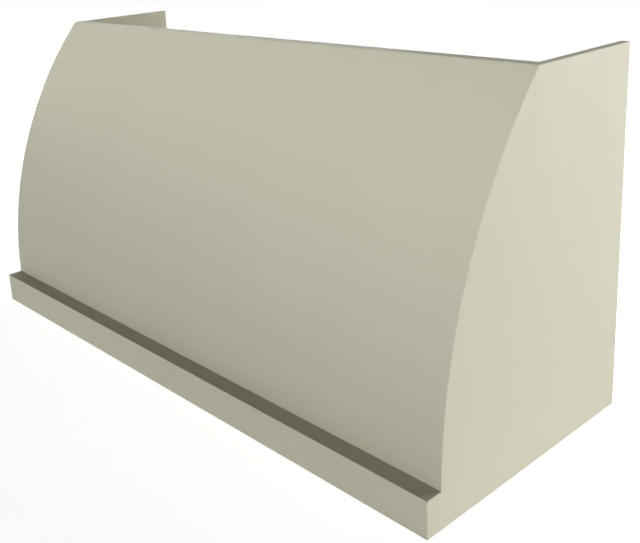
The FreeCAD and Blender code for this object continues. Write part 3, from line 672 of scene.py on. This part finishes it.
screwGroup("frameScrews", "frame_screws", 16, "up")
screwGroup("cleatScrews", "cleat_screws", 12, "sideways")
screwGroup("ledgeScrews", "ledge_screws", 4, "up")
screwGroup("ribScrews", "rib_screws", 8, "up")
screwGroup("railScrews", "rail_screws", 12, "front")
screwGroup("tieScrews", "tie_screws", 2, "sideways")

dowel = dict(count=8, flutes=16, fluteDepth=0.0002, bevel=0.001, around=64, pith=(0.3, 0, 0.1))

# Fluted dowels along Y: radius - depth * (1 - cos(flutes * angle)) / 2, bevelled at both ends.
def flutedDowels():
    low, high = copiesIn("frame_dowels", dowel["count"])
    half, radius, bevel = (high - low).max() / 2, (high - low).min() / 2, dowel["bevel"]
    angle = np.arange(dowel["around"]) * 2 * np.pi / dowel["around"]
    fluted = radius - dowel["fluteDepth"] * (1 - np.cos(dowel["flutes"] * angle)) / 2
    depth = np.array([-half, bevel - half, half - bevel, half])
    rings = ringsAbout(fluted[None, :] - np.array([bevel, 0, 0, bevel])[:, None], depth, angle)
    ends = np.array([0, 0, -half]), np.array([0, 0, half])
    points, faces = repeatRings(rings, ends, (low + high) / 2, ["front"] * dowel["count"])
    newPiece("frameDowels", points, faces, makeWood("beechDowel", beech, "Y", dowel["pith"]), "beech",
             "frame_dowels")

flutedDowels()
print("screws and dowels ready")

filler = dict(size=0.0012, sunk=0.0006, steps=5)       # sunk is how far it reaches into both boards

# The bead of painter's filler in the corner of the ledge and the front. Its hollow face is a quarter circle
# about a point that stands one bead's size out from both: centre + size * (sin a, -cos a).
def ledgeFiller():
    size, sunk = filler["size"], filler["sunk"]
    angle = np.linspace(np.pi / 2, 0, filler["steps"] + 1)
    hollow = np.column_stack([frontFoot - size + size * np.sin(angle), arcZ + size - size * np.cos(angle)])
    under, behind = arcZ - sunk, frontFoot + sunk
    buried = [(frontFoot - size, under), (behind, under), (behind, arcZ + size)]
    outline = np.concatenate([buried, hollow])
    still = np.zeros(len(outline))
    inset = edges["painted"] / 2
    points, faces = carryAlongX(outline, still, still, cadLow.x + inset, cadHigh.x - inset, inset, 1)
    newPiece("ledgeFiller", points, faces, satinPaint, "painted_wood")

ledgeFiller()

glue = dict(
    radius=0.0017,
    wander=0.34,
    waves=((23, 1.0, 1.0), (61, 0.7, 2.3), (9, 0.5, 1.0)),   # radians along a bead, height, phase factor
    thinnest=0.25,             # share of the radius
    around=10,
    along=160,
    endGap=0.012,              # angle on the arc that a bead stays short of each end of a rib
    blocks=5,
    blockEndGap=0.002,
    ribPhase=2.9,              # from bead to bead, so that no two look alike
    blockPhase=1.7,
)

# Glue that was squeezed out of a joint: a bead along a path, with radius * (1 + wander * a sum of sines).
# across and out are the two directions of its section at each point of the path.
def glueBead(path, across, out, phase):
    share = np.linspace(0, 1, len(path))
    swell = sum(height * np.sin(run * share + factor * phase) for run, height, factor in glue["waves"])
    radius = glue["radius"] * np.maximum(1 + glue["wander"] * swell, glue["thinnest"])
    angle = (np.arange(glue["around"]) * 2 * np.pi / glue["around"])[None, :, None]
    around = np.cos(angle) * across[:, None, :] + np.sin(angle) * out[:, None, :]
    return closedRings(path[:, None, :] + radius[:, None, None] * around, path[0], path[-1])

# Beads up both sides of each rib, in the corner that it makes with the front.
def ribGlue():
    start, end = angleAt(carcassRadius, arcZ) + glue["endGap"], railLowAngle - glue["endGap"]
    arc = arcPoints(carcassRadius, start, end, glue["along"])
    angle = np.linspace(start, end, glue["along"])
    out = np.column_stack([np.zeros_like(angle), np.cos(angle), -np.sin(angle)])
    across = np.tile([1.0, 0.0, 0.0], (len(arc), 1))
    parts = []
    for node in ribs.values():
        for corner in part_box(node):
            path = np.column_stack([np.full(len(arc), corner.x), arc])
            parts.append(glueBead(path, across, out, glue["ribPhase"] * len(parts)))
    newPiece("ribGlue", *joinParts(parts), driedGlue, None)

# Beads along the upper edge of each three-cornered block, where it meets the front, and along its lower
# edge on the ledge board.
def blockGlue():
    parts = []
    for number in range(1, glue["blocks"] + 1):
        low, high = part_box("glue_block_" + str(number))
        x = np.linspace(low.x + glue["blockEndGap"], high.x - glue["blockEndGap"], glue["along"] // 2)
        upperY = arcY - math.sqrt(carcassRadius ** 2 - (high.z - arcZ) ** 2)
        for y, z in ((upperY, high.z), (high.y, low.z)):
            path = np.column_stack([x, np.full_like(x, y), np.full_like(x, z)])
            across = np.tile([0.0, 1.0, 0.0], (len(x), 1))
            out = np.tile([0.0, 0.0, 1.0], (len(x), 1))
            parts.append(glueBead(path, across, out, glue["blockPhase"] * len(parts)))
    newPiece("blockGlue", *joinParts(parts), driedGlue, None)

ribGlue()
blockGlue()
print("filler and glue ready")

stage = dict(
    floorSize=14.0,
    floorColour=(225, 225, 225),
    floorRoughness=0.9,
    nearGlow=0.86,         # the floor's own white for the camera, beside the light on it
    farGlow=1.0,
    glowFrom=0.8,          # distances from the hood between which that white rises
    glowTo=1.7,
    worldStrength=0.0,
)

# 1 for a ray that shows a surface itself: from the camera, in a reflection or through glass. Otherwise 0.
def seenItself(tree):
    rays = addNode(tree, "LightPath").outputs
    seen = arithmetic(tree, "MAXIMUM", rays["Is Camera Ray"], rays["Is Glossy Ray"])
    return arithmetic(tree, "MAXIMUM", seen, rays["Is Transmission Ray"])

# White paper under the hood. It keeps the hood's shadow, and adds a white of its own where it is seen.
def makeFloor():
    spread = np.linspace(-0.5, 0.5, 3) * stage["floorSize"]
    x, y = np.meshgrid(spread, spread, indexing="ij")
    points = np.stack([x, y, np.full_like(x, cadLow.z)], -1).reshape(-1, 3)
    faces = [[0, 3, 4, 1], [1, 4, 5, 2], [3, 6, 7, 4], [4, 7, 8, 5]]
    mesh = bpy.data.meshes.new("floor")
    mesh.from_pydata(points.tolist(), [], faces)
    floor = addObject("floor", mesh)
    material, tree, shader = newMaterial("floorPaper")
    shader.inputs["Base Color"].default_value = shade(*stage["floorColour"])
    shader.inputs["Roughness"].default_value = stage["floorRoughness"]
    away = addNode(tree, "VectorMath", {0: stretchedSpot(tree)}, operation="LENGTH").outputs["Value"]
    glow = remap(tree, away, stage["nearGlow"], stage["farGlow"], stage["glowFrom"], stage["glowTo"])
    white = addNode(tree, "Emission", {"Strength": arithmetic(tree, "MULTIPLY", seenItself(tree), glow)})
    both = addNode(tree, "AddShader", {0: shader.outputs[0], 1: white.outputs[0]})
    tree.links.new(both.outputs[0], tree.nodes["Material Output"].inputs["Surface"])
    mesh.materials.append(material)

# A white background that is seen, but gives no light of its own beyond worldStrength.
def makeWorld():
    world = bpy.data.worlds.new("paleStudio")
    bpy.context.scene.world = world
    world.use_nodes = True
    tree = world.node_tree
    background = tree.nodes["Background"]
    background.inputs["Color"].default_value = (1, 1, 1, 1)
    strength = remap(tree, seenItself(tree), stage["worldStrength"], 1.0)
    tree.links.new(strength, background.inputs["Strength"])

# Softboxes round the hood. around is degrees right of straight in front, away is along the floor, and up is
# height. They hang low, and the widest lies on the floor, so that the ledge and the top edges stay dark.
lamps = {
    "floorBounce": dict(around=0, away=0.0, up=0.001, aim=5.0, width=10.0, height=10.0, watts=50),
    "frontLeftStrip": dict(around=-24, away=2.8, up=0.06, aim=0.06, width=3.0, height=0.1, watts=18),
    "frontRightStrip": dict(around=25, away=2.5, up=0.06, aim=0.06, width=3.0, height=0.1, watts=13),
    "highStrip": dict(around=-9, away=2.82, up=1.38, aim=1.08, width=3.0, height=0.3, watts=8.6, spread=40),
    "rightStrip": dict(around=90, away=4.0, up=0.39, aim=0.2, width=2.0, height=0.76, watts=44),
    "rearRightSoftbox": dict(around=140, away=3.9, up=1.25, aim=0.35, width=2.0, height=2.0, watts=56),
    "rearSoftbox": dict(around=165, away=3.96, up=0.91, aim=0.35, width=2.0, height=2.0, watts=40),
    "rearLeftSoftbox": dict(around=-130, away=3.96, up=0.91, aim=0.35, width=2.0, height=2.0, watts=50),
}

# A lamp stands at (away * sin around, -away * cos around, up) and looks at the height aim above the origin.
def makeLamps():
    for name, lamp in lamps.items():
        around = math.radians(lamp["around"])
        place = Vector((lamp["away"] * math.sin(around), -lamp["away"] * math.cos(around), lamp["up"]))
        look = Vector((0, 0, lamp["aim"])) - place
        light = bpy.data.lights.new(name, "AREA")
        light.shape = "RECTANGLE"
        light.size, light.size_y = lamp["width"], lamp["height"]
        light.energy = lamp["watts"]
        light.spread = math.radians(lamp.get("spread", 180))
        holder = addObject(name, light)
        holder.visible_camera = False
        holder.visible_glossy = holder.visible_transmission = name != "floorBounce"
        holder.matrix_world = Matrix.Translation(place) @ look.to_track_quat("-Z", "Y").to_matrix().to_4x4()

camera = dict(
    place=(1.60325, -1.33076, 1.02626),
    yaw=49.06,            # degrees left of +Y
    pitch=15.62,          # below the horizon
    roll=-3.29,
    focalPixels=913.5,    # for a picture 640 pixels wide
    pictureWidth=640,
    sensorWidth=36,       # millimetres
    shift=(0.0734, -0.157),
)

# Lens length in millimetres = focalPixels * sensorWidth / pictureWidth.
def makeCamera():
    lens = bpy.data.cameras.new("photoCamera")
    lens.sensor_width = camera["sensorWidth"]
    lens.lens = camera["focalPixels"] * lens.sensor_width / camera["pictureWidth"]
    lens.shift_x, lens.shift_y = camera["shift"]
    holder = addObject("photoCamera", lens)
    turn = (Matrix.Rotation(math.radians(camera["yaw"]), 4, "Z")
            @ Matrix.Rotation(math.radians(90 - camera["pitch"]), 4, "X")
            @ Matrix.Rotation(math.radians(camera["roll"]), 4, "Z"))
    holder.matrix_world = Matrix.Translation(camera["place"]) @ turn
    bpy.context.scene.camera = holder

makeFloor()
makeWorld()
makeLamps()
makeCamera()
bpy.context.scene.view_settings.view_transform = "Standard"
print("stage ready")
